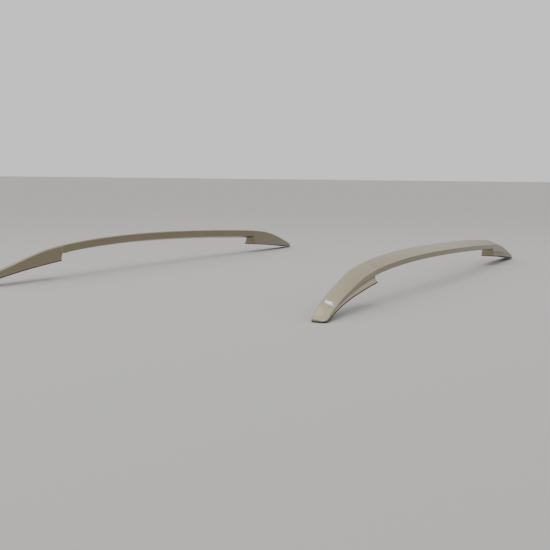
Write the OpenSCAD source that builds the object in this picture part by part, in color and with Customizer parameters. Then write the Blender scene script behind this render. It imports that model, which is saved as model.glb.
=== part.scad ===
// A pair of raised roof side rails. X points to the car's left, Y to its rear and Z up.
// Each rail is a hollow slanted bar between a lower front foot and a higher rear foot.

/* [Rail line] */
// Length of a rail from tip to tip
rail_len = 1800; // [1500:10:2100]
// Half the distance between the rails' inner edges at their tips
half_gap = 491; // [400:1:600]
// How far each rail bows inwards at mid length
mid_bow = 4; // [0:1:30]
// Half of how far the tail stands inboard of the nose
toe_in = 17.5; // [0:0.5:30]
// Sideways sweep that is strongest a fifth of the rail from each end
end_sweep = 17.5; // [0:0.5:20]
// Inward waist between mid length and each tip
waist = 13; // [0:1:16]
// Rise of the roof line between the tips
arch = 60.5; // [20:0.5:90]
// How much fuller the arch is at the front than at the rear
arch_lean = 0.46; // [0:0.02:0.7]
// How much fuller the arch is at both ends
arch_fullness = 0.4; // [0:0.02:0.5]

/* [Bar section] */
// Width from the rounded inner top edge to the outer crease
bar_w = 41; // [30:1:55]
// Fall of the top face from the inner edge to the crease
bar_fall = 19; // [10:1:21]
// Height of the inner side
bar_inner_h = 27.5; // [24:0.5:32]
// Height of the undercut outer side below the crease
bar_outer_h = 15.5; // [12:0.5:18]
// How far the outer side runs in below the crease
undercut = 1.5; // [0.5:0.5:4]
// How far the inner side leans out at its foot
inner_rake = 1.5; // [0:0.5:3]
// Chamfer between the outer side and the underside
heel = 3; // [2:0.5:5]
// Crown of the top face
crown = 1.2; // [0.4:0.2:2.5]
// Rounding of the inner top edge
edge_round = 9; // [4:1:12]
// Rounding of the outer crease
crease_round = 1.5; // [0.5:0.5:3]
// Rounding of the inner lower edge
lower_round = 4; // [1:1:6]
// Rounding of the crown
crown_round = 12; // [6:1:16]
// Rounding of the chamfer's two edges
heel_round = 1.2; // [0.4:0.2:2]
// Wall of the extruded bar and of the moulded covers
wall = 2.5; // [2:0.25:3.5]

/* [Feet] */
// Length of the front foot, from the tip to its upright end face
front_foot_len = 330; // [300:1:420]
// Length of the rear foot, from the tip to its upright end face
rear_foot_len = 325; // [290:1:380]
// Height of the rail above the roof at the front foot's end face
front_h = 49; // [47:0.5:58]
// Height of the rail above the roof at the rear foot's end face
rear_h = 60.5; // [48:0.5:70]
// Width of the top face at the nose
nose_w = 36; // [28:1:40]
// Width of the top face at the tail
tail_w = 30; // [24:1:38]
// Fall of the top face at the nose
nose_fall = 10; // [6:1:12]
// Fall of the top face at the tail
tail_fall = 6.5; // [3:0.5:10]
// Plan radius of the tips' inner corners
inner_corner = 6; // [3:1:10]
// Plan radius of the tips' outer corners
outer_corner = 14; // [6:1:16]
// Share of the height of a foot's side that stands upright, from the crease down to the flange
side_share = 0.58; // [0.4:0.02:0.65]
// How far the lower flange of a foot stands out beyond the crease
flange_out = 6; // [0:0.5:8]
// How far the inner side of a foot leans out at its base
inner_flare = 1; // [0:0.5:4]
// Height of the crease above the gasket from which a flange has its full reach
full_flange_h = 25; // [15:1:35]
// Rounding of the hollow between a foot's side and its flange
cove_round = 5.3; // [1:0.1:8]
// Rounding of a foot's edges at the gasket
base_round = 0.6; // [0.3:0.1:1.2]
// Rounding of the tips' top edge in side view
tip_round = 3; // [1:0.5:5]
// Radius between the front foot's end face and the bar's underside
front_fillet = 10; // [4:1:14]
// Radius between the rear foot's end face and the bar's underside
rear_fillet = 6; // [3:1:10]
// Lean of an end face, as the mould needs
face_draft = 2.5; // [1:0.5:5]
// Joint between a cover and the bar
seam = 0.5; // [0.3:0.1:1]
// Length of the solid tip before a cover's cavity
solid_tip = 30; // [28:1:40]

/* [Brackets] */
// Width of a bracket's base flange
flange_w = 27; // [22:1:29]
// Thickness of a bracket's base flange
flange_t = 5; // [4:0.5:7]
// Thickness of a bracket's web
web_t = 6; // [4:0.5:8]
// Distance of the bracket's middle from the rail's inner edge
web_at = 19; // [17:0.5:20]
// Distance of a bracket's end from the bolt next to the tip
bracket_end = 28; // [20:1:32]
// Distance of the second front bolt from the front foot's end face
front_bolt_in = 36; // [30:1:50]
// Distance of the second rear bolt from the rear foot's end face
rear_bolt_in = 66; // [30:1:90]
// Distance between the two front bolts
front_bolt_pitch = 115; // [95:5:130]
// Distance between the two rear bolts
rear_bolt_pitch = 130; // [100:5:140]
// Clearance between a bracket and a cover's end wall
bracket_gap = 1; // [0.5:0.5:3]
// Length of the tongue that a bracket holds in the bar
tongue_len = 55; // [40:5:90]
// Length of the tongue's root in the foot
tongue_root = 45; // [30:5:60]
// Clearance between the tongue and what it sits in
tongue_gap = 0.3; // [0.2:0.1:0.5]
// Outer radius of a bolt boss
boss_r = 10; // [9:0.5:11]
// Height of a bolt boss above the roof
boss_h = 16.5; // [16:0.5:18]
// Space between a bolt boss and a cover's screw post
post_space = 12; // [4:1:20]

/* [Fixings and seals] */
// Outer radius of a threaded bush
bush_r = 6; // [5.5:0.25:7]
// Length of a threaded bush
bush_len = 14; // [10:1:15]
// Radius of the bush's thread core, for an M8 bolt
thread_r = 3.35; // [2.5:0.05:4]
// Thickness of the base gaskets and of the sealing rings
gasket_t = 2; // [1.5:0.25:3]
// How far the gasket's lip shows round a foot
gasket_lip = 0.8; // [0:0.2:2]
// Outer radius of a sealing ring round a bolt
ring_r = 10; // [9:0.5:11]
// Play round a sealing ring and round a bush at the gasket
seal_play = 0.5; // [0.25:0.25:1]
// Shank radius of a cover screw
cover_screw_r = 1.9; // [1.5:0.1:2.4]
// Length of a cover screw's shank
cover_screw_len = 14; // [11:1:16]
// Radius of a cover's screw post
post_r = 3.6; // [3:0.2:4]
// Distance of the screw posts from the rail's inner edge
post_at = 10.8; // [10.4:0.2:11]
// Clearance between a screw post's foot and the bracket
post_gap = 0.8; // [0.3:0.1:1.5]
// Shank radius of a bar screw
bar_screw_r = 2.4; // [2:0.1:3]
// Length of a bar screw's shank
bar_screw_len = 11; // [8:1:13]
// Distance of a bar screw from the end of the bar
bar_screw_at = 27; // [20:1:35]
// Height of the screw heads
head_h = 2.2; // [1.6:0.2:2.6]
// Play round a screw where it only passes through
screw_play = 0.2; // [0.1:0.1:0.4]
// Play between a bar screw's head and the slanted underside
head_play = 0.1; // [0.05:0.05:0.2]

/* [Hidden] */
$fn = 48;
FEET = ["front", "rear"];
SIDES = ["left", "right"];
PIECES = ["bar", "front_cover", "rear_cover", "front_bracket", "rear_bracket", "front_gasket",
          "rear_gasket", "front_bushes", "rear_bushes", "front_sealing_rings", "rear_sealing_rings",
          "front_cover_screws", "rear_cover_screws", "bar_screws"];

silver = [0.72, 0.71, 0.67];
cast = [0.58, 0.59, 0.60];
steel = [0.50, 0.50, 0.52];
black = [0.07, 0.07, 0.07];

// Number of rings along a foot and along the bar, and of points on each of a section's six corners
foot_rows = 15;
bar_rows = 22;
corner_points = [2, 5, 3, 3, 3, 2];
// Smallest rounding of an inner corner, and least height of an inner side
least_round = 0.4;
// Half the length over which a slope is measured
half_step = 0.5;
// Angles round the fillet under a cover's end
fillet_steps = [30, 60, 90];

// Side view of each foot: share of the foot's length from the tip, and share of the full height there
front_shape = [[0, 0.14], [0.03, 0.17], [0.16, 0.38], [0.43, 0.62], [0.86, 0.96], [1.1, 1]];
rear_shape = [[0, 0.12], [0.03, 0.25], [0.12, 0.38], [0.3, 0.6], [0.55, 0.85], [0.8, 0.98], [1.1, 1]];

// Height above the roof line at which covers and brackets stand on their gasket
seat_gap = 0.15;
sole = gasket_t + seat_gap;
// Height above the roof line of the seats of the cover screws' heads and of the posts' feet
head_sink = 1;
screw_seat = sole + head_sink;
post_foot = sole + flange_t + post_gap;

// Curves
function mix(a, b, k) = a + (b - a) * k;
function clip(k) = max(0, min(1, k));
function slope(p, i) = (p[i + 1].y - p[i].y) / (p[i + 1].x - p[i].x);
// Slope at a point of a monotone curve: the harmonic mean of its neighbours'
function tangent(p, i) = i == 0 ? slope(p, 0) : i == len(p) - 1 ? 0
    : 2 * slope(p, i - 1) * slope(p, i) / (slope(p, i - 1) + slope(p, i));
function hermite(p, i, k) = let (d = p[i + 1].x - p[i].x)
    (2 * k ^ 3 - 3 * k ^ 2 + 1) * p[i].y + (k ^ 3 - 2 * k ^ 2 + k) * d * tangent(p, i)
    + (3 * k ^ 2 - 2 * k ^ 3) * p[i + 1].y + (k ^ 3 - k ^ 2) * d * tangent(p, i + 1);
function shape_at(p, x, i = 0) = x >= p[len(p) - 1].x ? p[len(p) - 1].y
    : x > p[i + 1].x ? shape_at(p, x, i + 1) : hermite(p, i, (x - p[i].x) / (p[i + 1].x - p[i].x));

// The rail's line. y runs from the nose at the front to the tail, and u is -1 to 1 over it
function u(y) = 2 * y / rail_len;
function inner_x(y) = half_gap - mid_bow * (1 - u(y) ^ 2) - toe_in * u(y)
    - end_sweep * (u(y) ^ 3 - u(y)) - 4 * waist * u(y) ^ 2 * (1 - u(y) ^ 2);
function roof_z(y) = arch * (1 - u(y) ^ 2) * (1 - arch_lean * u(y) + arch_fullness * u(y) ^ 2);
function from_nose(y) = y + rail_len / 2;
function from_tail(y) = rail_len / 2 - y;
function tip_distance(y) = min(from_nose(y), from_tail(y));
function is_front(y) = y < 0;
function foot_len(y) = is_front(y) ? front_foot_len : rear_foot_len;
// Place along Y of a point that lies q from a foot's tip
function place(foot, q) = foot == "front" ? q - rail_len / 2 : rail_len / 2 - q;

// Sizes of the section at y, as heights above the roof line
bar_len = rail_len - front_foot_len - rear_foot_len;
function full_h(y) = mix(front_h, rear_h, clip((from_nose(y) - front_foot_len) / bar_len));
function foot_share(y) = clip(tip_distance(y) / foot_len(y));
function top_h(y) = full_h(y) * shape_at(is_front(y) ? front_shape : rear_shape,
                                         tip_distance(y) / foot_len(y))
    - corner_inset(tip_distance(y), tip_round);
function top_w(y) = is_front(y) ? mix(nose_w, bar_w, clip(foot_share(y) * 1.5))
                                : mix(tail_w, bar_w, sqrt(foot_share(y)));
function fall(y) = is_front(y) ? mix(nose_fall, bar_fall, clip(foot_share(y) * 1.25))
                               : mix(tail_fall, bar_fall, foot_share(y));
// The crease runs out just above the gasket at the tips
function crease_h(y) = max(top_h(y) - fall(y), sole + (top_h(y) - sole) * 0.35);
// Height of the side between the crease and the flange of a foot, or the chamfer of the bar
function foot_side_h(y) = side_share * (crease_h(y) - sole);
function bar_side_h(y) = min(bar_outer_h - heel, foot_side_h(y));
// Share of its full reach that a foot's flange has, which grows with the height of its side
function flare(y) = clip((crease_h(y) - sole) / full_flange_h);
function corner_inset(q, r) = q >= r ? 0 : r - sqrt(r ^ 2 - (r - max(q, 0)) ^ 2);

// Six corners of the section at y, each [across, up, rounding]. open is 1 where the section
// stands on the gasket as a foot does and 0 where it is closed below as the bar is
function section(y, open) = let (h = top_h(y), w = top_w(y), c = crease_h(y),
        s = mix(bar_side_h(y), foot_side_h(y), open), k = flare(y), under = undercut * k,
        in = corner_inset(tip_distance(y), inner_corner),
        out = corner_inset(tip_distance(y), outer_corner))
    [[in + mix(inner_rake, -inner_flare * k, open), mix(h - bar_inner_h, sole, open),
      mix(lower_round, base_round, open)],
     [in, h, min(edge_round, 0.35 * (h - sole))],
     [(in + w - out) / 2, (h + c) / 2 + crown * k, crown_round],
     [w - out, c, min(crease_round, 0.2 * (h - sole))],
     [w - out - under, c - s, mix(heel_round, cove_round * k, open)],
     [mix(w - under - heel, w + flange_out * k - out, open), mix(c - s - heel, sole, open),
      mix(heel_round, base_round, open)]];

// A corner with its edges' ends joined by a quadratic curve of n points
function unit(v) = v / norm(v);
function xy(p) = [p.x, p.y];
function rounded(a, b, c, r, n) = let (l = min(r, 0.45 * norm(a - b), 0.45 * norm(c - b)),
        p = b + l * unit(a - b), q = b + l * unit(c - b))
    [for (i = [0:n - 1]) let (k = i / (n - 1)) (1 - k) ^ 2 * p + 2 * k * (1 - k) * b + k ^ 2 * q];
function outline(corners) = let (n = len(corners))
    [for (i = [0:n - 1]) each rounded(xy(corners[(i + n - 1) % n]), xy(corners[i]),
                                      xy(corners[(i + 1) % n]), corners[i].z, corner_points[i])];
// Corners moved inwards by d
function inward(a, b) = let (e = unit(b - a)) [e.y, -e.x];
function inset(corners, d) = let (n = len(corners))
    [for (i = [0:n - 1]) let (b = xy(corners[i]), n0 = inward(xy(corners[(i + n - 1) % n]), b),
            n1 = inward(b, xy(corners[(i + 1) % n])), m = b + d * (n0 + n1) / (1 + n0 * n1))
        [m.x, m.y, max(least_round, corners[i].z - d)]];
// Corners with the two lowest at given heights, and the one above the flange kept below the crease
function floored(c, inner_z, outer_z) = [[c[0].x, inner_z, c[0].z], c[1], c[2], c[3],
    [c[4].x, min(c[4].y, c[3].y - least_round), c[4].z], [c[5].x, outer_z, c[5].z]];
function ring(y, corners) = [for (p = outline(corners)) [inner_x(y) + p.x, y, roof_z(y) + p.y]];

// The bar's underside above the roof line, at the section's inner and outer lower corners
function under_inner(y) = top_h(y) - bar_inner_h;
function under_outer(y) = crease_h(y) - bar_side_h(y) - heel;
// How open the section is where the floor lies drop below the bar's underside
function openness(y, drop) = is_undef(drop) ? 1 : clip(drop / (under_inner(y) - sole));
function floor_of(under, drop) = is_undef(drop) ? sole : under - drop;
function skin(y, drop, d) = let (c = inset(section(y, openness(y, drop)), d))
    ring(y, floored(c, floor_of(under_inner(y), drop), floor_of(under_outer(y), drop)));

// Polyhedron faces, clockwise from outside, for rings whose points run clockwise seen from the front
function quad(a, b, c, d) = [[a, b, c], [a, c, d]];
function turned(faces, flip) = flip ? [for (f = faces) [f[0], f[2], f[1]]] : faces;
function wall_faces(first, rows, n, last) = [for (i = [rows[0]:rows[1] - 1], j = [0:last])
    each quad(first + i * n + j, first + (i + 1) * n + j, first + (i + 1) * n + (j + 1) % n,
              first + i * n + (j + 1) % n)];
function cap_faces(first, centre, n) = [for (j = [0:n - 1]) [first + j, first + (j + 1) % n, centre]];
function annulus(a, b, n) = [for (j = [0:n - 1]) each quad(a + j, a + (j + 1) % n, b + (j + 1) % n, b + j)];
function middle(points) = [for (k = [0:2]) let (v = [for (p = points) p[k]]) (min(v) + max(v)) / 2];
function joined(lists) = [for (l = lists) each l];

// A closed bar through its rings
module loft(rings, flip = false) {
    n = len(rings[0]);
    last = len(rings) - 1;
    ends = last * n;
    caps = n * (last + 1);
    polyhedron(concat(joined(rings), [middle(rings[0]), middle(rings[last])]),
        turned(concat(wall_faces(0, [0, last], n, n - 1), cap_faces(0, caps, n),
                      turned(cap_faces(ends, caps + 1, n), true)), flip), convexity = 6);
}

// A tube with a wall between its outer and inner rings
module tube(outer, inner) {
    n = len(outer[0]);
    last = len(outer) - 1;
    in = n * (last + 1);
    polyhedron(concat(joined(outer), joined(inner)),
        concat(wall_faces(0, [0, last], n, n - 1), turned(wall_faces(in, [0, last], n, n - 1), true),
               annulus(0, in, n), turned(annulus(last * n, in + last * n, n), true)), convexity = 6);
}

// A moulded cover: a shell that is open below up to ring number face, where its end wall stands,
// then runs on as a closed sleeve to its open end
module shell(outer, inner, face, flip) {
    n = len(outer[0]);
    last = len(outer) - 1;
    in = n * (last + 1);
    tips = 2 * in;
    polyhedron(concat(joined(outer), joined(inner), [middle(outer[0]), middle(inner[0])]),
        turned(concat(
            wall_faces(0, [0, last], n, n - 2),
            turned(wall_faces(in, [0, last], n, n - 2), true),
            [for (i = [face:last - 1]) each quad(i * n + n - 1, (i + 1) * n + n - 1, (i + 1) * n, i * n)],
            [for (i = [face:last - 1]) each quad(in + i * n, in + (i + 1) * n, in + (i + 1) * n + n - 1,
                                                 in + i * n + n - 1)],
            [for (i = [0:face - 1]) each quad(i * n, in + i * n, in + (i + 1) * n, (i + 1) * n)],
            [for (i = [0:face - 1]) each quad(i * n + n - 1, (i + 1) * n + n - 1, in + (i + 1) * n + n - 1,
                                              in + i * n + n - 1)],
            quad(face * n, in + face * n, in + face * n + n - 1, face * n + n - 1),
            quad(0, n - 1, in + n - 1, in),
            cap_faces(0, tips, n), turned(cap_faces(in, tips + 1, n), true),
            turned(annulus(last * n, in + last * n, n), true)), flip), convexity = 8);
}

// Sizes of the two feet
function face_at(foot) = foot == "front" ? front_foot_len : rear_foot_len;
function fillet_of(foot) = foot == "front" ? front_fillet : rear_fillet;
function seam_at(foot) = face_at(foot) + face_draft + fillet_of(foot);
// The bolt next to the tip comes first
function bolt_at(foot) = foot == "front"
    ? [front_foot_len - front_bolt_in - front_bolt_pitch, front_foot_len - front_bolt_in]
    : [rear_foot_len - rear_bolt_in - rear_bolt_pitch, rear_foot_len - rear_bolt_in];
// Cover screws stand between the two bolts, clear of their bosses
screw_offset = boss_r + post_r + post_space;
function screw_at(foot) = bolt_at(foot) + [screw_offset, -screw_offset];
// Rings crowd towards the tips, where the form turns fastest
function row_share(i) = (i / foot_rows) ^ 2;

// Rows of a cover: [distance from the tip, drop of the floor below the bar's underside]
function outer_rows(foot) = let (f = face_at(foot), r = fillet_of(foot))
    concat([for (i = [0:foot_rows]) [mix(gasket_lip, f, row_share(i)), undef]], [[f + face_draft, r]],
           [for (a = fillet_steps) [f + face_draft + r * (1 - cos(a)), r * (1 - sin(a))]]);
function inner_rows(foot) = let (f = face_at(foot), r = fillet_of(foot))
    concat([for (i = [0:foot_rows]) [mix(solid_tip, f - wall, row_share(i)), undef]],
           [[f + face_draft - wall, r]],
           [for (a = fillet_steps) [f + face_draft + r - (r + wall) * cos(a), r - (r + wall) * sin(a)]]);

// Turns and moves children to a place q from a foot's tip, across from the inner edge, on the roof line
module on_roof(foot, q, across) {
    y = place(foot, q);
    translate([inner_x(y) + across, y, roof_z(y)]) children();
}
module along_roof(foot, q, across) {
    y = place(foot, q);
    on_roof(foot, q, across)
        rotate([atan((roof_z(y + half_step) - roof_z(y - half_step)) / (2 * half_step)), 0,
                atan((inner_x(y - half_step) - inner_x(y + half_step)) / (2 * half_step))])
            children();
}

// A screw post of a cover, from its foot just above the bracket up into the wall of the top face
module post(foot, q) {
    y = place(foot, q);
    intersection() {
        on_roof(foot, q, post_at) translate([0, 0, post_foot]) cylinder(r = post_r, h = top_h(y));
        loft([for (d = [-2, 0, 2]) ring(y + d * post_r, inset(section(y + d * post_r, 1), wall / 2))]);
    }
}

module cover(foot) {
    color(silver)
        difference() {
            union() {
                shell([for (r = outer_rows(foot)) skin(place(foot, r[0]), r[1], 0)],
                      [for (r = inner_rows(foot)) skin(place(foot, r[0]), r[1], wall)],
                      foot_rows, foot == "rear");
                for (q = screw_at(foot)) post(foot, q);
            }
            for (q = screw_at(foot)) on_roof(foot, q, post_at)
                translate([0, 0, screw_seat]) cylinder(r = cover_screw_r, h = cover_screw_len + screw_play);
        }
}

module bar() {
    ys = [for (i = [0:bar_rows]) mix(place("front", seam_at("front") + seam),
                                     place("rear", seam_at("rear") + seam), i / bar_rows)];
    color(silver)
        difference() {
            tube([for (y = ys) ring(y, section(y, 0))], [for (y = ys) ring(y, inset(section(y, 0), wall))]);
            for (foot = FEET) under_bar(foot)
                cylinder(r = bar_screw_r + screw_play, h = 3 * wall, center = true);
        }
}

// Stands children on the bar's underside, pointing up into the bar
under_slant = atan((bar_fall + bar_outer_h - bar_inner_h) / (bar_w - undercut - heel - inner_rake));
function bar_screw_place(foot) = place(foot, seam_at(foot) + seam + bar_screw_at);
module under_bar(foot) {
    y = bar_screw_place(foot);
    across = (bar_w - undercut - heel + inner_rake) / 2;
    rise = (roof_z(y + half_step) + top_h(y + half_step) - roof_z(y - half_step) - top_h(y - half_step))
        / (2 * half_step);
    translate([inner_x(y) + across, y, roof_z(y) + (under_inner(y) + under_outer(y)) / 2])
        rotate([atan(rise), under_slant, 0]) children();
}

// A rectangle of a bracket at y, between two places across and two heights above the roof line
function bracket_ring(y, across, heights) = [for (p = [[0, 0], [0, 1], [1, 1], [1, 0]])
    [inner_x(y) + across[p[0]], y, roof_z(y) + heights[p[1]]]];
module bracket(foot) {
    ends = [bolt_at(foot)[0] - bracket_end, face_at(foot) - wall - bracket_gap];
    rows = [for (i = [0:8]) mix(ends[0], ends[1], i / 8)];
    flip = foot == "rear";
    tongue_rows = [for (q = [seam_at(foot) - tongue_root, face_at(foot), seam_at(foot),
                             seam_at(foot) + tongue_len / 2, seam_at(foot) + tongue_len]) place(foot, q)];
    color(cast)
        difference() {
            union() {
                loft([for (q = rows)
                    bracket_ring(place(foot, q), [web_at - flange_w / 2, web_at + flange_w / 2],
                                 [sole, sole + flange_t])], flip);
                loft([for (q = rows) let (y = place(foot, q))
                    bracket_ring(y, [web_at - web_t / 2, web_at + web_t / 2],
                        [sole + flange_t / 2, top_h(y) - fall(y) * (web_at + web_t) / bar_w - 2 * wall])],
                     flip);
                loft([for (y = tongue_rows) ring(y, inset(section(y, 0), wall + tongue_gap))], flip);
                for (q = bolt_at(foot)) on_roof(foot, q, web_at)
                    translate([0, 0, sole + flange_t / 2])
                        cylinder(r = boss_r, h = boss_h - sole - flange_t / 2);
            }
            for (q = bolt_at(foot)) on_roof(foot, q, web_at)
                translate([0, 0, -gasket_t]) cylinder(r = bush_r, h = bush_len + gasket_t);
            for (q = screw_at(foot)) on_roof(foot, q, post_at) {
                translate([0, 0, -gasket_t]) cylinder(r = cover_screw_r + screw_play, h = 3 * flange_t);
                translate([0, 0, screw_seat - 2 * head_h])
                    cylinder(r = 2 * cover_screw_r + screw_play, h = 2 * head_h);
            }
            under_bar(foot) cylinder(r = bar_screw_r, h = bar_screw_len);
        }
}

module bushes(foot) {
    color(steel) for (q = bolt_at(foot)) on_roof(foot, q, web_at)
        difference() {
            cylinder(r = bush_r, h = bush_len);
            translate([0, 0, -gasket_t]) cylinder(r = thread_r, h = bush_len + 2 * gasket_t);
        }
}

module sealing_rings(foot) {
    color(black) for (q = bolt_at(foot)) along_roof(foot, q, web_at)
        difference() {
            cylinder(r = ring_r, h = gasket_t);
            translate([0, 0, -gasket_t]) cylinder(r = bush_r + seal_play, h = 3 * gasket_t);
        }
}

function gasket_ring(y, q) = let (in = corner_inset(q, inner_corner), out = corner_inset(q, outer_corner),
        k = flare(y))
    bracket_ring(y, [in - inner_flare * k - gasket_lip,
                     top_w(y) + flange_out * k - out + gasket_lip], [0, gasket_t]);
module gasket(foot) {
    rows = [for (i = [0:foot_rows]) face_at(foot) * row_share(i)];
    color(black)
        difference() {
            loft([for (q = rows) gasket_ring(place(foot, q), q)], foot == "rear");
            for (q = bolt_at(foot)) along_roof(foot, q, web_at)
                translate([0, 0, -gasket_t]) cylinder(r = ring_r + seal_play, h = 3 * gasket_t);
            for (q = screw_at(foot)) along_roof(foot, q, post_at)
                translate([0, 0, -gasket_t]) cylinder(r = 2 * cover_screw_r + screw_play, h = 3 * gasket_t);
        }
}

// A screw that points up, its head below the seat
module screw(r, l) {
    cylinder(r = r, h = l);
    translate([0, 0, -head_h])
        rotate_extrude() polygon([[0, 0], [1.5 * r, 0], [2 * r, head_h * 0.5], [2 * r, head_h], [0, head_h]]);
}

module cover_screws(foot) {
    color(steel) for (q = screw_at(foot)) on_roof(foot, q, post_at)
        translate([0, 0, screw_seat]) screw(cover_screw_r, cover_screw_len);
}

module bar_screws() {
    color(steel) for (foot = FEET) under_bar(foot)
        translate([0, 0, -head_play]) screw(bar_screw_r, bar_screw_len);
}

// One piece of a rail, as the left rail has it
module piece(name) {
    if (name == "bar") bar();
    if (name == "bar_screws") bar_screws();
    for (foot = FEET) {
        if (name == str(foot, "_cover")) cover(foot);
        if (name == str(foot, "_bracket")) bracket(foot);
        if (name == str(foot, "_gasket")) gasket(foot);
        if (name == str(foot, "_bushes")) bushes(foot);
        if (name == str(foot, "_sealing_rings")) sealing_rings(foot);
        if (name == str(foot, "_cover_screws")) cover_screws(foot);
    }
}

for (s = SIDES, p = PIECES)
    mirror([s == "right" ? 1 : 0, 0, 0]) piece(p);
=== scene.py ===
"""A pair of raised roof side rails on a pale studio floor.

Each rail is a hollow slanted bar between a long front foot and a rear foot. The bars, the moulded
covers of the feet, the screws and the threaded bushes are worked out here as fine surfaces, from
the same sizes as the solids. Brackets, gaskets and sealing rings are the solids' own meshes.
Lengths are in millimetres until a mesh is made.
"""

import bpy
import numpy as np
from mathutils import Matrix, Vector


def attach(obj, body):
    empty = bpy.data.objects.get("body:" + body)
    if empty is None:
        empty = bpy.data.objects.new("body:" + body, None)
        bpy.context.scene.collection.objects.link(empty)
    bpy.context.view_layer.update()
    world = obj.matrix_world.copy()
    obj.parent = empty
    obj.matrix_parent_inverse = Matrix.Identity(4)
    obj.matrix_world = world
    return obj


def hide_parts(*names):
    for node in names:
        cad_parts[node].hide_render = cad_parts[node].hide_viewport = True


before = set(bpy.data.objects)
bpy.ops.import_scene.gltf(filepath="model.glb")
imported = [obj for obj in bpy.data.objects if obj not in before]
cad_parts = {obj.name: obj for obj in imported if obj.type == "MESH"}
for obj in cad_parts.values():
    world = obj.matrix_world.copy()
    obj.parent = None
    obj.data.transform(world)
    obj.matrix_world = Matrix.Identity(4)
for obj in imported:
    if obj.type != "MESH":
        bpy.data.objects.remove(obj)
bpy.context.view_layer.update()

# Rail line
rail_len = 1800.0  # from tip to tip
half_gap = 491.0  # half the distance between the rails' inner edges, nose and tail taken together
mid_bow = 4.0  # how far each rail bows inwards at mid length
toe_in = 17.5  # half of how far the tail stands inboard of the nose
end_sweep = 17.5  # sideways sweep towards each end
waist = 13.0  # inward waist between mid length and each tip
arch = 60.5  # rise of the roof line between the tips
arch_lean = 0.46  # how much fuller the arch is at the front than at the rear
arch_fullness = 0.4  # how much fuller the arch is at both ends

# Section of the bar
bar_w = 41.0  # from the rounded inner top edge to the outer crease
bar_fall = 19.0  # fall of the top face from the inner edge to the crease
bar_inner_h = 27.5  # height of the inner side
bar_outer_h = 15.5  # height of the undercut outer side below the crease
undercut = 1.5  # how far the outer side runs in below the crease
inner_rake = 1.5  # how far the inner side runs in under the bar at its foot
heel = 3.0  # chamfer between the outer side and the underside
crown = 1.2  # crown of the top face
edge_round = 9.0  # rounding of the inner top edge
edge_round_share = 0.35  # and the largest share of the height above the sole that it takes
crease_round = 1.5  # rounding of the outer crease
crease_round_share = 0.2  # and its largest share
lower_round = 4.0  # rounding of the inner lower edge
crown_round = 12.0  # rounding of the crown
heel_round = 1.2  # rounding of the chamfer's two edges
wall = 2.5  # wall of the bar and of the covers

# Feet
foot_len = {"front": 330.0, "rear": 325.0}  # from the tip to the upright end face
front_h = 49.0  # full height of the rail above the roof at the front foot
rear_h = 60.5  # and at the rear foot
nose_w = 36.0  # width of the top face at the nose
tail_w = 30.0  # and at the tail
nose_fall = 10.0  # fall of the top face at the nose
tail_fall = 6.5  # and at the tail
nose_widens = 1.5  # the nose's width reaches the bar's at the foot's length divided by this
nose_steepens = 1.25  # and its fall reaches the bar's at the length divided by this
crease_share = 0.35  # least height of the crease above the sole, as a share of the top edge's
side_share = 0.58  # share of the height of a foot's side that stands upright above its flange
flange_out = 6.0  # how far the flange stands out beyond the crease
full_flange_h = 25.0  # height of the crease above the sole from which the flange has that reach
inner_flare = 1.0  # how far the inner side of a foot leans out at its base
cove_round = 5.3  # rounding of the hollow between a foot's side and its flange
base_round = 0.6  # rounding of a foot's edges at the gasket
inner_corner = 6.0  # plan radius of the tips' inner corners
outer_corner = 14.0  # plan radius of the tips' outer corners
tip_round = 3.0  # rounding of the tips' top edge in side view
fillet = {"front": 10.0, "rear": 6.0}  # radius between an end face and the bar's underside
face_draft = 2.5  # lean of an end face
seam = 0.5  # joint between a cover and the bar
solid_tip = 30.0  # length of the solid tip before a cover's cavity
gasket_lip = 0.8  # how far the gasket shows round a foot
sole = 2.15  # height above the roof line at which the covers stand on their gaskets
# Side view of a foot: share of its length from the tip, and share of the full height there
foot_shape = {
    "front": [(0, 0.14), (0.03, 0.17), (0.16, 0.38), (0.43, 0.62), (0.86, 0.96), (1.1, 1)],
    "rear": [(0, 0.12), (0.03, 0.25), (0.12, 0.38), (0.3, 0.6), (0.55, 0.85), (0.8, 0.98), (1.1, 1)]
}

# Fixings
bolts = {"front": (179.0, 294.0), "rear": (129.0, 259.0)}  # distances of the bolts from the tip
web_at = 19.0  # distance of the bolts from the rail's inner edge
boss_r = 10.0  # radius of a bracket's bolt boss
bush_r = 6.0  # outer radius of a threaded bush
bush_len = 14.0
thread_r = 3.35  # radius of the thread's core
thread_top = 4.0  # radius of the bottom of its groove
thread_pitch = 1.25
post_r = 3.6  # radius of a cover's screw post
post_space = 12.0  # space between a bolt boss and a screw post
post_at = 10.8  # distance of the posts from the rail's inner edge
post_foot = 7.95  # height of a post's foot above the roof line
cover_screw_r = 1.9  # shank radius
cover_screw_len = 14.0
screw_seat = 3.15  # height of a cover screw's seat above the roof line
bar_screw_r = 2.4  # shank radius
bar_screw_len = 11.0
bar_screw_at = 27.0  # distance of a bar screw from the end of the bar
head_h = 2.2  # height of the screw heads
head_play = 0.1  # play between a bar screw's head and the slanted underside

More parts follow.
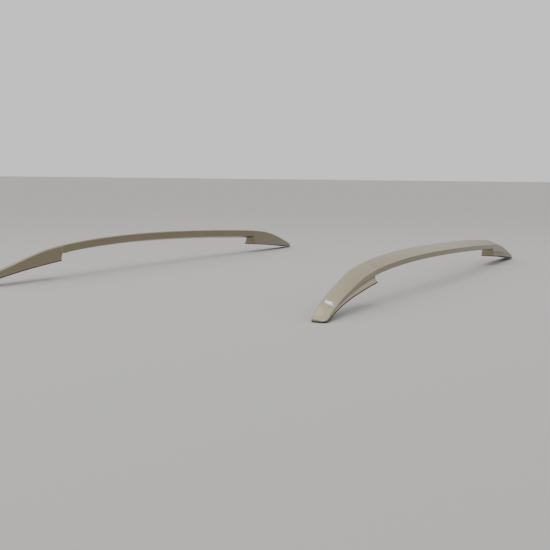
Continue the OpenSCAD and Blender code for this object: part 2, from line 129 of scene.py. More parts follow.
# Fine surfaces
end_edge = 1.5  # rounding of an end wall's upright edges
seam_edge = 0.35  # rounding of the edges at the joint
corner_points = (9, 14, 12, 8, 9, 5)  # points on each rounded corner of a section
flat_steps = np.array([0.03, 0.2, 0.5, 0.8, 0.97])  # where points lie along a flat, as shares of it
outline_points = sum(corner_points) + (len(corner_points) - 1) * len(flat_steps)
floor_points = 14  # points across a floor, both its corners among them
bar_rows = 150  # sections along the outside of a bar
inside_step = 3  # inside, the bar has every third of them
cover_rows = 90  # sections along a cover up to its end wall
tip_crowding = 1.6  # power by which they crowd towards the tip
least_round = 0.3  # smallest rounding of an inset corner
least_side = 0.4  # least height of a cover's outer side, inset or not
corner_reach = 0.45  # largest share of an edge that the rounding beside it takes
half_step = 0.5  # half the length over which a slope is measured
sharp_angle = np.radians(38)  # edges that bend more than this are shaded sharp


# The rail's line and section


def mix(a, b, k):
    """a where k is 0, b where it is 1."""
    return a + (b - a) * k


def curve_through(points, x):
    """Cubic pieces through the points. The slope at each is the harmonic mean of those beside it,
    and level at the last."""
    p = np.array(points, float)
    s = np.diff(p[:, 1]) / np.diff(p[:, 0])
    t = np.concatenate([s[:1], 2 * s[:-1] * s[1:] / (s[:-1] + s[1:]), [0]])
    i = np.clip(np.searchsorted(p[:, 0], x) - 1, 0, len(p) - 2)
    d = p[i + 1, 0] - p[i, 0]
    k = np.clip((x - p[i, 0]) / d, None, 1)
    return ((2 * k**3 - 3 * k**2 + 1) * p[i, 1] + (k**3 - 2 * k**2 + k) * d * t[i]
            + (3 * k**2 - 2 * k**3) * p[i + 1, 1] + (k**3 - k**2) * d * t[i + 1])


def inner_x(y):
    """Inner edge in plan: a bow, a taper, a sweep and two waists, as polynomials of u, which runs
    from -1 at the nose to 1 at the tail."""
    u = 2 * y / rail_len
    return (half_gap - mid_bow * (1 - u**2) - toe_in * u - end_sweep * (u**3 - u)
            - 4 * waist * u**2 * (1 - u**2))


def roof_z(y):
    """Height of the roof under the rail: a parabola in u, fuller at the front and at both ends."""
    u = 2 * y / rail_len
    return arch * (1 - u**2) * (1 - arch_lean * u + arch_fullness * u**2)


def place(foot, q):
    """Place along the rail of a point that lies q from a foot's tip."""
    return q - rail_len / 2 if foot == "front" else rail_len / 2 - q


def tip_distance(y):
    """Distance from the nearer tip."""
    return np.minimum(y, -y) + rail_len / 2


def by_foot(y, front, rear):
    """One value on the front half of the rail, the other on its rear half."""
    return np.where(y < 0, front, rear)


def foot_share(y):
    """Distance from the nearer tip, as a share of that foot's length."""
    return tip_distance(y) / by_foot(y, foot_len["front"], foot_len["rear"])


def corner_inset(q, r):
    """How far a quarter circle of radius r takes a tip's corner back, at q from the tip."""
    return np.where(q >= r, 0, r - np.sqrt(np.maximum(r * r - (r - np.clip(q, 0, r)) ** 2, 0)))


def top_h(y):
    """Height of the inner top edge above the roof: the bar's own height times the foot's shape."""
    run = rail_len - foot_len["front"] - foot_len["rear"]
    full = mix(front_h, rear_h, np.clip((y + rail_len / 2 - foot_len["front"]) / run, 0, 1))
    q = foot_share(y)
    shape = by_foot(y, curve_through(foot_shape["front"], q), curve_through(foot_shape["rear"], q))
    return full * shape - corner_inset(tip_distance(y), tip_round)


def top_w(y):
    """Width of the top face: it grows in a straight line from the nose, as a root from the tail."""
    k = np.clip(foot_share(y), 0, 1)
    nose = mix(nose_w, bar_w, np.clip(nose_widens * k, 0, 1))
    tail = mix(tail_w, bar_w, np.sqrt(k))
    return by_foot(y, nose, tail)


def crease_h(y):
    """Height of the crease above the roof: the top edge's less the fall of the top face."""
    k = np.clip(foot_share(y), 0, 1)
    nose = mix(nose_fall, bar_fall, np.clip(nose_steepens * k, 0, 1))
    tail = mix(tail_fall, bar_fall, k)
    h = top_h(y)
    return np.maximum(h - by_foot(y, nose, tail), sole + (h - sole) * crease_share)


def foot_side_h(y):
    """Height of a foot's upright side, from the crease down to the flange."""
    return side_share * (crease_h(y) - sole)


def bar_side_h(y):
    """Height of the bar's outer side, from the crease down to the chamfer."""
    return np.minimum(bar_outer_h - heel, foot_side_h(y))


def flare(y):
    """Share of its full reach that a flange has, which grows with the height of the crease."""
    return np.clip((crease_h(y) - sole) / full_flange_h, 0, 1)


def under_inner(y):
    """Height of the bar's underside at its inner lower corner."""
    return top_h(y) - bar_inner_h


def under_outer(y):
    """Height of the bar's underside at its outer lower corner."""
    return crease_h(y) - bar_side_h(y) - heel


def section(y, openness):
    """Six corners, each across, up and rounding: inner bottom, inner top, crown, crease, above the
    flange, outer bottom. openness goes from 0, the closed bar, to 1, a foot that stands on the
    roof."""
    y, o = np.broadcast_arrays(np.asarray(y, float), np.asarray(openness, float))
    h, w, c, k = top_h(y), top_w(y), crease_h(y), flare(y)
    side = mix(bar_side_h(y), foot_side_h(y), o)
    near = corner_inset(tip_distance(y), inner_corner)
    far = corner_inset(tip_distance(y), outer_corner)
    out = w - undercut * k
    corners = [
        (near + mix(inner_rake, -inner_flare * k, o), mix(h - bar_inner_h, sole, o),
         mix(lower_round, base_round, o)),
        (near, h, np.minimum(edge_round, edge_round_share * (h - sole))),
        ((near + w - far) / 2, (h + c) / 2 + crown * k, crown_round + 0 * y),
        (w - far, c, np.minimum(crease_round, crease_round_share * (h - sole))),
        (out - far, c - side, mix(heel_round, cove_round * k, o)),
        (mix(out - heel, w + flange_out * k - far, o), mix(c - side - heel, sole, o),
         mix(heel_round, base_round, o))]
    return np.stack([np.stack(corner, -1) for corner in corners], -2)


def unit(v):
    """Vectors divided by their lengths."""
    return v / np.linalg.norm(v, axis=-1, keepdims=True)


def inset(corners, d):
    """Each corner moved in by d from both its edges, along the sum of their inward normals."""
    b = corners[..., :2]
    along = unit(np.roll(b, -1, -2) - b)
    after = np.stack([along[..., 1], -along[..., 0]], -1)
    before = np.roll(after, 1, -2)
    shared = 1 + np.sum(before * after, -1, keepdims=True)
    d = np.asarray(d, float).reshape(-1, 1, 1)
    return np.concatenate([b + d * (before + after) / shared,
                           np.maximum(least_round, corners[..., 2:] - d)], -1)


def outline(corners):
    """Round the section: a quadratic curve over each corner, then points on the flat up to the
    next. The flat from the last corner to the first, the floor, has none."""
    xy = corners[..., :2]
    back, ahead = np.roll(xy, 1, -2) - xy, np.roll(xy, -1, -2) - xy
    to_last, to_next = np.linalg.norm(back, axis=-1), np.linalg.norm(ahead, axis=-1)
    cut = np.minimum(corners[..., 2], corner_reach * np.minimum(to_last, to_next))[..., None]
    p = xy + cut * back / to_last[..., None]
    q = xy + cut * ahead / to_next[..., None]
    rows = []
    for i, count in enumerate(corner_points):
        k = np.linspace(0, 1, count)[:, None]
        rows.append((1 - k) ** 2 * p[..., i, None, :] + 2 * k * (1 - k) * xy[..., i, None, :]
                    + k**2 * q[..., i, None, :])
        if i < len(corner_points) - 1:
            flat = (p[..., i + 1, :] - q[..., i, :])[..., None, :]
            rows.append(q[..., i, None, :] + flat_steps[:, None] * flat)
    return np.concatenate(rows, -2)


def on_rail(y, flat):
    """Outlines carried along the rail: across is added to its inner edge, up to the roof."""
    y = np.asarray(y, float)[:, None]
    return np.stack([inner_x(y) + flat[..., 0], np.broadcast_to(y, flat.shape[:2]),
                     roof_z(y) + flat[..., 1]], -1)


# Meshes


def numbered(rows, columns, first=0):
    """A grid of vertex numbers."""
    return first + np.arange(rows * columns).reshape(rows, columns)


def strip(grid, closed=False):
    """Quads of a grid of vertex numbers; closed joins its last column to its first."""
    g = np.concatenate([grid, grid[:, :1]], 1) if closed else grid
    return np.stack([g[:-1, :-1], g[1:, :-1], g[1:, 1:], g[:-1, 1:]], -1).reshape(-1, 4)


def between(row, other):
    """Quads between two rows of vertex numbers."""
    return strip(np.stack([row, other], 1))


def fan(ring, centre):
    """Triangles from a closed ring of vertex numbers to a centre."""
    return np.stack([ring, np.roll(ring, -1), np.full(len(ring), centre)], 1)


def make_piece(side, name, surface, slot, node):
    """A piece of one rail from its points and faces: a mesh in metres of the points that the faces
    use. The right rail's is the mirror image of the left one's."""
    points, faces = surface
    if side == "right":
        points = points * (-1, 1, 1)
        faces = [f[:, ::-1] for f in faces]
    used, numbers = np.unique(np.concatenate([f.ravel() for f in faces]), return_inverse=True)
    counts = np.concatenate([np.full(len(f), f.shape[1]) for f in faces])
    mesh = bpy.data.meshes.new(f"{side}_{name}")
    mesh.vertices.add(len(used))
    mesh.vertices.foreach_set("co", (points[used] * 0.001).ravel())
    mesh.loops.add(len(numbers))
    mesh.loops.foreach_set("vertex_index", numbers.astype(np.int32))
    mesh.polygons.add(len(counts))
    mesh.polygons.foreach_set("loop_start", (np.cumsum(counts) - counts).astype(np.int32))
    mesh.update(calc_edges=True)
    mesh.validate()
    mesh.polygons.foreach_set("use_smooth", np.ones(len(mesh.polygons), bool))
    mesh.set_sharp_from_angle(angle=sharp_angle)
    mesh.materials.append(finishes[slot])
    piece = bpy.data.objects.new(f"{side}_{name}", mesh)
    bpy.context.collection.objects.link(piece)
    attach(piece, "root")
    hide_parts(f"{side}_{node}")


# Bar and covers


def seam_at(foot):
    """Distance of the joint from a foot's tip, where the fillet has met the bar's underside."""
    return foot_len[foot] + face_draft + fillet[foot]


def bar_surface():
    """The bar as one closed sleeve: rows run back along the outside, from a quarter circle round
    one end's edge to another round the other's, and forward again inside. Each row is the section,
    and inside it is inset by the wall."""
    start, end = place("front", seam_at("front") + seam), place("rear", seam_at("rear") + seam)
    end_space = 2.0  # from each end to the next row
    along = np.linspace(start + end_space, end - end_space, bar_rows)
    turn = np.radians(np.arange(0, 91, 22.5))
    edge_inset, edge_y = seam_edge * (1 - np.sin(turn)), seam_edge * (1 - np.cos(turn))
    outside = np.concatenate([start + edge_y, along, end - edge_y[::-1]])
    inside = np.concatenate([[end], along[::-inside_step][1:-1], [start]])
    y = np.concatenate([outside, inside])
    d = np.concatenate([edge_inset, 0 * along, edge_inset[::-1], np.full(len(inside), wall)])
    points = on_rail(y, outline(inset(section(y, 0), d)))
    grid = numbered(*points.shape[:2])
    return points.reshape(-1, 3), [strip(np.concatenate([grid, grid[:1]]), closed=True)[:, ::-1]]


def cover_skin(foot, q, drop, d, pinch):
    """Rows of a cover at distances q from its tip, inset by d. drop is how far the floor lies under
    the bar's underside, and is not a number where the cover stands open on the gasket. pinch rounds
    an end wall's upright edges: it moves what lies below the underside towards the middle."""
    y = place(foot, q)
    open_below = np.isnan(drop)
    drop = np.where(open_below, 0, drop)
    openness = np.where(open_below, 1, np.clip(drop / (under_inner(y) - sole), 0, 1))
    corners = inset(section(y, openness), d)
    corners[:, 0, 1] = np.where(open_below, sole, under_inner(y) - drop)
    corners[:, 4, 1] = np.minimum(corners[:, 4, 1], corners[:, 3, 1] - least_side)
    corners[:, 5, 1] = np.where(open_below, sole, under_outer(y) - drop)
    flat = outline(corners)
    inner_foot, outer_foot = flat[:, :1, 0], flat[:, -1:, 0]
    middle, reach = (inner_foot + outer_foot) / 2, np.abs(inner_foot - outer_foot) / 2
    floor = np.linspace(flat[:, -1], flat[:, 0], floor_points, axis=1)[:, 1:-1]
    flat = np.concatenate([flat, floor], 1)
    underside = mix(under_inner(y), under_outer(y), 0.5)
    below = np.clip((underside[:, None] - flat[..., 1]) / fillet[foot], 0, 1)
    flat[..., 0] -= pinch[:, None] * below * np.clip((flat[..., 0] - middle) / reach, -1, 1)
    return on_rail(y, flat)


def outer_rows(foot):
    """Rows of a cover's outer skin: distance from the tip, drop of the floor, inset and pinch. They
    crowd towards the tip, turn a quarter circle round the end wall's upright edges, rise a quarter
    circle through the fillet and turn in at the joint. Last, how many rows are open below."""
    end, radius = foot_len[foot], fillet[foot]
    turn = np.radians(np.arange(0, 91, 7.5))
    joint_turn = np.radians([0, 7.5, 37.5, 67.5])
    crowded = np.linspace(0, 1, cover_rows) ** tip_crowding
    open_q = np.concatenate([gasket_lip + (end - end_edge - gasket_lip) * crowded,
                             end - end_edge + end_edge * np.sin(turn[1:])])
    open_pinch = np.concatenate([0 * crowded, end_edge * (1 - np.cos(turn[1:]))])
    closed_q = np.concatenate([end + face_draft + radius * (1 - np.cos(turn[:-1])),
                               seam_at(foot) - seam_edge * (1 - np.sin(joint_turn))])
    closed_drop = np.concatenate([radius * (1 - np.sin(turn[:-1])), 0 * joint_turn])
    closed_inset = np.concatenate([0 * turn[:-1], seam_edge * (1 - np.cos(joint_turn))])
    q = np.concatenate([open_q, closed_q])
    drop = np.concatenate([np.full(len(open_q), np.nan), closed_drop])
    d = np.concatenate([0 * open_q, closed_inset])
    pinch = np.concatenate([open_pinch, np.full(len(closed_q), end_edge)])
    return q, drop, d, pinch, len(open_q)


def inner_rows(foot, rows, open_rows):
    """As many rows of the inner skin, one wall inside the outer one: distance from the tip, which
    starts where the solid tip ends, and drop of the floor."""
    end, radius = foot_len[foot], fillet[foot]
    crowded = np.linspace(0, 1, open_rows) ** tip_crowding
    turn = np.radians(np.linspace(8, 90, rows - open_rows - 1))
    q = np.concatenate([solid_tip + (end - wall - solid_tip) * crowded, [end + face_draft - wall],
                        end + face_draft + radius - (radius + wall) * np.cos(turn)])
    drop = np.concatenate([np.full(open_rows, np.nan), [radius],
                           np.maximum(radius - (radius + wall) * np.sin(turn), -wall)])
    return q, drop


def cover_surface(foot):
    """A moulded cover: an outer and an inner skin with rims between them, and a fan over each
    skin's first row. Each row runs over the top and, behind the end wall, back across the floor."""
    q, drop, d, pinch, open_rows = outer_rows(foot)
    outer = cover_skin(foot, q, drop, d, pinch)
    inner = cover_skin(foot, *inner_rows(foot, len(q), open_rows), np.full(len(q), wall), 0 * q)
    out = numbered(*outer.shape[:2])
    into = out + out.size
    n, last_open = outline_points, open_rows - 1
    centres = [(skin[0, :n].max(0) + skin[0, :n].min(0)) / 2 for skin in (outer, inner)]

    def floor(grid):
        """The rows' floors, with both their corners."""
        return np.concatenate([grid[last_open:, n - 1:], grid[last_open:, :1]], 1)

    def closed(row):
        """A row that ends where it starts."""
        return np.append(row, row[0])

    skins = [strip(out[:, :n]),
             strip(floor(out)),
             strip(into[:, :n])[:, ::-1],
             strip(floor(into))[:, ::-1]]
    gasket_rims = [between(out[:open_rows, 0], into[:open_rows, 0])[:, ::-1],
                   between(out[:open_rows, n - 1], into[:open_rows, n - 1])]
    end_rims = [between(floor(out)[0], floor(into)[0]),
                between(closed(out[-1]), closed(into[-1]))[:, ::-1]]
    tip = [fan(out[0, :n], 2 * out.size),
           fan(into[0, :n], 2 * out.size + 1)[:, ::-1],
           np.array([[out[0, 0], out[0, n - 1], into[0, n - 1], into[0, 0]]])]
    faces = skins + gasket_rims + end_rims + tip
    if foot == "front":
        faces = [f[:, ::-1] for f in faces]
    return np.concatenate([outer.reshape(-1, 3), inner.reshape(-1, 3), centres]), faces


# Screws, bushes and screw posts


def lathe(profile, columns, shaped=None):
    """A turned form about Z: rings of a profile's radii and heights. shaped, a function of radius,
    height and angle, gives the rings another radius, as for a hexagon socket or a thread."""
    angle = np.arange(columns) * 2 * np.pi / columns
    rings = np.array(profile, float)
    r = np.repeat(rings[:, :1], columns, 1)
    z = np.repeat(rings[:, 1:], columns, 1)
    if shaped is not None:
        r = shaped(r, z, angle)
    return np.stack([r * np.cos(angle), r * np.sin(angle), z], -1)


def in_one(forms, sleeves):
    """Points and faces of several turned forms in one mesh. A sleeve's last ring meets its first;
    any other form has a face over each end ring."""
    points, faces, first = [], [], 0
    for form in forms:
        grid = numbered(*form.shape[:2], first)
        if sleeves:
            faces.append(strip(np.concatenate([grid, grid[:1]]), closed=True))
        else:
            faces += [strip(grid, closed=True), grid[:1], grid[-1:, ::-1]]
        points.append(form.reshape(-1, 3))
        first += grid.size
    return np.concatenate(points), faces


def put(form, centre, tilt=None):
    """A form turned by a matrix and moved to its place."""
    flat = form.reshape(-1, 3)
    if tilt is not None:
        flat = flat @ np.array(tilt).T
    return (flat + centre).reshape(form.shape)


def spot(foot, q, across, up):
    """A point at q from a foot's tip, across from the rail's inner edge and up from the roof."""
    y = place(foot, q)
    return np.array([inner_x(y) + across, y, roof_z(y) + up])


def screw_form(r, length):
    """A pan-head screw of shank radius r that points up from its seat at 0: bevelled end, shank, a
    domed head twice as wide, and in it a hexagon socket with a slightly coned floor."""
    head_r = 2 * r
    point = 0.01  # radius of the small faces that close both ends
    bevel = 0.15
    rim = 0.35  # share of the head's height before its dome
    socket_floor = -0.55
    half_flats = 0.92 * r  # half the socket's width across its flats
    dome = [(head_r - 0.5 * r * k**2, -head_h * mix(rim, 1, k)) for k in np.linspace(0, 1, 6)]
    profile = [(point, length), (0.7 * r, length), (r, length - 0.5 * r), (r, 0.02),
               (head_r - bevel, 0), (head_r, -bevel), *dome, (1.02 * r, -head_h),
               (r, -head_h + 0.1), (0.98 * r, socket_floor), (point, socket_floor + 0.1)]

    def socket(radius, height, angle):
        """Inside the head, the radius of a hexagon in place of the ring's."""
        hexagon = half_flats / np.cos((angle + np.pi / 6) % (np.pi / 3) - np.pi / 6)
        return np.where((height < -0.5) & (radius < 1.01 * r), hexagon, radius)

    return lathe(profile, 48, socket)


def bush_form():
    """A bush with a real thread: the bore's radius rises and falls once a turn along a helix."""
    bevel = 0.4
    mouth = thread_top + 0.3  # radius at which the bore opens at both ends
    lead = 0.9  # height up to which its lower mouth tapers
    bore = [(thread_r, z) for z in np.linspace(bush_len - bevel, lead, 100)]
    profile = [(bush_r - bevel, 0), (bush_r, bevel), (bush_r, bush_len - bevel),
               (bush_r - bevel, bush_len), (mouth, bush_len), *bore, (mouth, 0)]

    def thread(radius, height, angle):
        """The bore's radius, with a narrow flat at the thread's crest and at its groove."""
        turn = (height / thread_pitch - angle / (2 * np.pi)) % 1
        groove = mix(thread_r, thread_top, np.clip(2.3 * np.abs(turn - 0.5) - 0.1, 0, 1))
        return np.where(np.isclose(radius, thread_r), groove, radius)

    return lathe(profile, 40, thread)[::-1]


def bushes(foot):
    """The two threaded bushes of a foot."""
    return in_one([put(bush_form(), spot(foot, q, web_at, 0)) for q in bolts[foot]], sleeves=True)


def screw_places(foot):
    """Distances of a cover's two screws from the tip: between the bolts, clear of their bosses."""
    first, second = bolts[foot]
    space = boss_r + post_r + post_space
    return first + space, second - space


def cover_screws(foot):
    """The two screws of a cover."""
    screw = screw_form(cover_screw_r, cover_screw_len)
    places = [spot(foot, q, post_at, screw_seat) for q in screw_places(foot)]
    return in_one([put(screw, p) for p in places], sleeves=False)


def bar_screws():
    """The two bar screws, square to the bar's slanted underside."""
    drop = bar_fall + bar_outer_h - bar_inner_h
    slant = np.arctan(drop / (bar_w - undercut - heel - inner_rake))
    across = (bar_w - undercut - heel + inner_rake) / 2
    forms = []
    for foot in ("front", "rear"):
        q = seam_at(foot) + seam + bar_screw_at
        y = place(foot, q)
        ends = np.array([y + half_step, y - half_step])
        ahead, behind = roof_z(ends) + top_h(ends)
        rise = np.arctan((ahead - behind) / (2 * half_step))
        tilt = Matrix.Rotation(slant, 3, "Y") @ Matrix.Rotation(rise, 3, "X")
        up = mix(under_inner(y), under_outer(y), 0.5) - head_play
        forms.append(put(screw_form(bar_screw_r, bar_screw_len), spot(foot, q, across, up), tilt))
    return in_one(forms, sleeves=False)


def posts(foot):
    """A cover's two screw posts: sleeves from above the bracket up into the top face's wall."""
    bevel = 0.3
    below_top = 0.8  # what is left of that wall above a post
    forms = []
    for q in screw_places(foot):
        reach = top_h(place(foot, q)) - bar_fall * (post_at + post_r) / bar_w - below_top
        profile = [(cover_screw_r, post_foot), (post_r - bevel, post_foot),
                   (post_r, post_foot + bevel), (post_r, reach), (cover_screw_r, reach)]
        forms.append(put(lathe(profile, 32)[::-1], spot(foot, q, post_at, 0)))
    return in_one(forms, sleeves=True)


def moulded_cover(foot):
    """A cover's shell with its screw posts."""
    shell, shell_faces = cover_surface(foot)
    sleeves, sleeve_faces = posts(foot)
    return np.concatenate([shell, sleeves]), shell_faces + [f + len(shell) for f in sleeve_faces]


# Materials

noise_span = (0.3, 0.7)  # where nearly all values of a noise lie


def finish_nodes(name, tone, metallic, roughness, coat=None):
    """A principled shader with its plain numbers on its own sockets. coat is the clear coat's
    weight and roughness."""
    material = bpy.data.materials.new(name)
    material.use_nodes = True
    tree = material.node_tree
    shader = tree.nodes["Principled BSDF"]
    shader.inputs["Base Color"].default_value = (*tone, 1)
    shader.inputs["Metallic"].default_value = metallic
    shader.inputs["Roughness"].default_value = roughness
    if coat is not None:
        shader.inputs["Coat Weight"].default_value = coat[0]
        shader.inputs["Coat Roughness"].default_value = coat[1]
    return material, tree, shader


def grain(tree, scale, detail, stretch=(1, 1, 1)):
    """Noise on Object coordinates, stretched by a Mapping node."""
    where = tree.nodes.new("ShaderNodeTexCoord")
    mapping = tree.nodes.new("ShaderNodeMapping")
    mapping.inputs["Scale"].default_value = stretch
    noise = tree.nodes.new("ShaderNodeTexNoise")
    noise.inputs["Scale"].default_value = scale
    noise.inputs["Detail"].default_value = detail
    noise.inputs["Roughness"].default_value = 0.55
    tree.links.new(where.outputs["Object"], mapping.inputs["Vector"])
    tree.links.new(mapping.outputs["Vector"], noise.inputs["Vector"])
    return noise.outputs["Fac"]


def spread(tree, fac, low, high):
    """A number that follows the grain between two values."""
    node = tree.nodes.new("ShaderNodeMapRange")
    node.inputs["From Min"].default_value, node.inputs["From Max"].default_value = noise_span
    node.inputs["To Min"].default_value = low
    node.inputs["To Max"].default_value = high
    tree.links.new(fac, node.inputs["Value"])
    return node.outputs["Result"]


def two_tone(tree, fac, tone, dark, light):
    """A colour that follows the grain from dark times the tone to light times the tone."""
    node = tree.nodes.new("ShaderNodeValToRGB")
    for element, position, k in zip(node.color_ramp.elements, noise_span, (dark, light)):
        element.position = position
        element.color = (*[channel * k for channel in tone], 1)
    tree.links.new(fac, node.inputs["Fac"])
    return node.outputs["Color"]


def relief(tree, fac, strength, depth):
    """A normal that follows the grain, depth in metres."""
    bump = tree.nodes.new("ShaderNodeBump")
    bump.inputs["Strength"].default_value = strength
    bump.inputs["Distance"].default_value = depth
    tree.links.new(fac, bump.inputs["Height"])
    return bump.outputs["Normal"]


def anodised_bar():
    """Drawn aluminium, satin anodised: faint lines along the bar and a slow drift of tone."""
    tone = (0.272, 0.237, 0.163)
    material, tree, shader = finish_nodes("satin_anodised_aluminium", tone, 0.95, 0.36,
                                          coat=(0.2, 0.12))
    lines = grain(tree, 1.0, 3.0, stretch=(900, 5, 900))
    drift = grain(tree, 9.0, 2.0)
    tree.links.new(two_tone(tree, drift, tone, 0.96, 1.03), shader.inputs["Base Color"])
    tree.links.new(spread(tree, lines, 0.32, 0.40), shader.inputs["Roughness"])
    tree.links.new(relief(tree, lines, 0.06, 0.0002), shader.inputs["Normal"])
    return material


def painted_cover():
    """Silver paint on a moulded cover: fine flakes and the slight orange peel of a sprayed coat."""
    tone = (0.28, 0.244, 0.172)
    material, tree, shader = finish_nodes("silver_painted_cover", tone, 0.9, 0.38, coat=(0.4, 0.05))
    flakes = grain(tree, 2600.0, 2.0)
    peel = grain(tree, 420.0, 2.0)
    tree.links.new(two_tone(tree, flakes, tone, 0.93, 1.06), shader.inputs["Base Color"])
    tree.links.new(spread(tree, peel, 0.35, 0.41), shader.inputs["Roughness"])
    tree.links.new(relief(tree, peel, 0.05, 0.0002), shader.inputs["Normal"])
    return material


def cast_bracket():
    """Die-cast aluminium: dull grey, pitted and slightly blotched."""
    tone = (0.42, 0.43, 0.44)
    material, tree, shader = finish_nodes("cast_aluminium", tone, 0.95, 0.55)
    blotch = grain(tree, 60.0, 5.0)
    pits = grain(tree, 900.0, 3.0)
    tree.links.new(two_tone(tree, blotch, tone, 0.82, 1.1), shader.inputs["Base Color"])
    tree.links.new(spread(tree, blotch, 0.48, 0.62), shader.inputs["Roughness"])
    tree.links.new(relief(tree, pits, 0.35, 0.0002), shader.inputs["Normal"])
    return material


def black_rubber(name, roughness):
    """Moulded rubber: near black, matt, with a fine grain."""
    tone = (0.018, 0.018, 0.019)
    material, tree, shader = finish_nodes(name, tone, 0.0, roughness)
    fine = grain(tree, 1500.0, 3.0)
    tree.links.new(two_tone(tree, fine, tone, 0.7, 1.5), shader.inputs["Base Color"])
    low, high = roughness - 0.06, roughness + 0.06
    tree.links.new(spread(tree, fine, low, high), shader.inputs["Roughness"])
    tree.links.new(relief(tree, fine, 0.2, 0.0001), shader.inputs["Normal"])
    return material


def zinc_steel(name, tone):
    """Zinc-plated steel: bright with a faint mottle."""
    material, tree, shader = finish_nodes(name, tone, 1.0, 0.32)
    mottle = grain(tree, 500.0, 4.0)
    tree.links.new(two_tone(tree, mottle, tone, 0.85, 1.08), shader.inputs["Base Color"])
    tree.links.new(spread(tree, mottle, 0.25, 0.4), shader.inputs["Roughness"])
    return material


finishes = {"bar": anodised_bar(),
            "cover": painted_cover(),
            "bracket": cast_bracket(),
            "gasket": black_rubber("gasket_rubber", 0.7),
            "sealing_ring": black_rubber("ring_rubber", 0.6),
            "bush": zinc_steel("zinc_plated_bush", (0.58, 0.58, 0.60)),
            "screw": zinc_steel("zinc_plated_screw", (0.50, 0.50, 0.52))}

# Pieces

for side in ("left", "right"):
    make_piece(side, "bar_section", bar_surface(), "bar", "bar")
    make_piece(side, "bar_pan_screws", bar_screws(), "screw", "bar_screws")
    for foot in ("front", "rear"):
        make_piece(side, f"{foot}_moulded_cover", moulded_cover(foot), "cover", f"{foot}_cover")
        make_piece(side, f"{foot}_threaded_bushes", bushes(foot), "bush", f"{foot}_bushes")
        make_piece(side, f"{foot}_cover_pan_screws", cover_screws(foot), "screw",
                   f"{foot}_cover_screws")
        for node, slot in (("bracket", "bracket"), ("gasket", "gasket"),
                           ("sealing_rings", "sealing_ring")):
            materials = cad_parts[f"{side}_{foot}_{node}"].data.materials
            materials.clear()
            materials.append(finishes[slot])


# Studio


def studio_floor():
    """A pale square that runs to the horizon, just under the gaskets. Lengths in metres."""
    half = 100.0
    height = -0.0008
    mesh = bpy.data.meshes.new("studio_floor")
    mesh.from_pydata([(-half, -half, height), (half, -half, height), (half, half, height),
                      (-half, half, height)], [], [(0, 1, 2, 3)])
    material, _, _ = finish_nodes("studio_floor_paint", (0.42, 0.43, 0.445), 0.0, 0.8)
    mesh.materials.append(material)
    floor = bpy.data.objects.new("studio_floor", mesh)
    bpy.context.collection.objects.link(floor)


def soft_light(name, stand, aim, size, watts, colour):
    """A rectangular lamp that the camera doesn't see. Places and sizes in metres."""
    light = bpy.data.lights.new(name, "AREA")
    light.shape = "RECTANGLE"
    light.size, light.size_y = size
    light.energy = watts
    light.color = colour
    lamp = bpy.data.objects.new(name, light)
    lamp.location = stand
    lamp.rotation_euler = (Vector(aim) - Vector(stand)).to_track_quat("-Z", "Y").to_euler()
    lamp.visible_camera = False
    bpy.context.collection.objects.link(lamp)


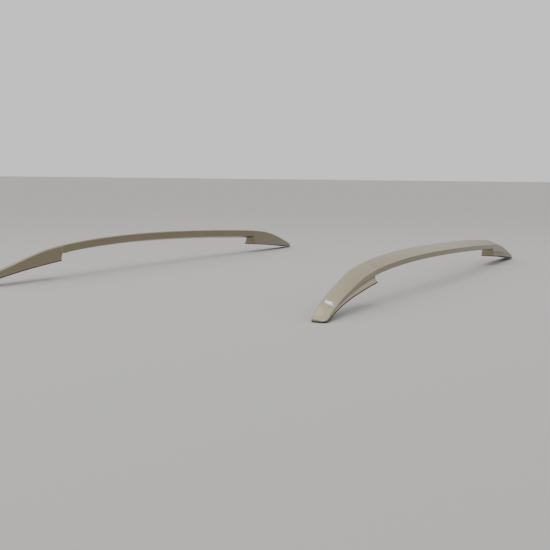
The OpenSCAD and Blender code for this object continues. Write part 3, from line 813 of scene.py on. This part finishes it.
def studio_walls():
    """The room around: dim up to some 5 degrees above the horizon, pale from 14 degrees upwards,
    and evenly pale where the camera looks straight at it."""
    dim, pale, seen_pale = 0.2, 1.14, 0.85
    dim_below, pale_above = 0.09, 0.24  # sines of the two angles
    world = bpy.data.worlds.new("studio_walls")
    world.use_nodes = True
    tree = world.node_tree
    background = tree.nodes["Background"]
    way = tree.nodes.new("ShaderNodeTexCoord")
    parts = tree.nodes.new("ShaderNodeSeparateXYZ")
    rise = tree.nodes.new("ShaderNodeMapRange")
    rise.inputs["From Min"].default_value = dim_below
    rise.inputs["From Max"].default_value = pale_above
    rise.inputs["To Min"].default_value = dim
    rise.inputs["To Max"].default_value = pale
    seen = tree.nodes.new("ShaderNodeLightPath")
    strength = tree.nodes.new("ShaderNodeMix")
    strength.inputs["B"].default_value = seen_pale
    hue = tree.nodes.new("ShaderNodeMixRGB")
    hue.inputs["Color1"].default_value = (1.0, 0.96, 0.90, 1)
    hue.inputs["Color2"].default_value = (1, 1, 1, 1)
    tree.links.new(way.outputs["Generated"], parts.inputs["Vector"])
    tree.links.new(parts.outputs["Z"], rise.inputs["Value"])
    tree.links.new(rise.outputs["Result"], strength.inputs["A"])
    tree.links.new(seen.outputs["Is Camera Ray"], strength.inputs["Factor"])
    tree.links.new(strength.outputs["Result"], background.inputs["Strength"])
    tree.links.new(seen.outputs["Is Camera Ray"], hue.inputs["Fac"])
    tree.links.new(hue.outputs["Color"], background.inputs["Color"])
    bpy.context.scene.world = world


def photo_camera():
    """A camera at the photograph's viewing angle, for a square image of 550 pixels. Its place is
    in metres."""
    stand = (1.330, -2.589, 0.3077)
    yaw, pitch, roll = np.radians(28.316), np.radians(6.307), np.radians(0.547)
    focal_px = 888.5
    image_px = 550
    sensor = 36.0
    ahead = Vector((-np.sin(yaw) * np.cos(pitch), np.cos(yaw) * np.cos(pitch), -np.sin(pitch)))
    level = Vector((np.cos(yaw), np.sin(yaw), 0))
    upright = level.cross(ahead)
    across = np.cos(roll) * level + np.sin(roll) * upright
    upward = -np.sin(roll) * level + np.cos(roll) * upright
    camera = bpy.data.cameras.new("photo_camera")
    camera.sensor_width = sensor
    camera.lens = sensor * focal_px / image_px
    camera.clip_start = 0.05
    camera.clip_end = 200
    viewer = bpy.data.objects.new("photo_camera", camera)
    turned = Matrix((across, upward, -ahead)).transposed().to_4x4()
    viewer.matrix_world = Matrix.Translation(stand) @ turned
    bpy.context.collection.objects.link(viewer)
    return viewer


studio_floor()
studio_walls()

between_rails = (0, 0, 0)
soft_light("overhead_softbox", (0.0, 0.0, 3.2), between_rails, (2.4, 2.4), 30, (1.0, 0.97, 0.92))
soft_light("front_fill", (-1.2, -3.7, 1.1), between_rails, (2.4, 1.2), 30, (1.0, 0.985, 0.95))
# Three small lamps side by side, which show as the streak on the near tip
near_tip = (0.508, -0.812, 0.038)
bluish = (0.62, 0.82, 1.0)
soft_light("bent_lamp_left", (0.19, 0.753, 1.961), near_tip, (0.05, 0.017), 0.166, bluish)
soft_light("bent_lamp_middle", (0.231, 0.776, 1.949), near_tip, (0.046, 0.018), 0.161, bluish)
soft_light("bent_lamp_right", (0.261, 0.804, 1.929), near_tip, (0.03, 0.024), 0.14, bluish)

bpy.context.scene.camera = photo_camera()
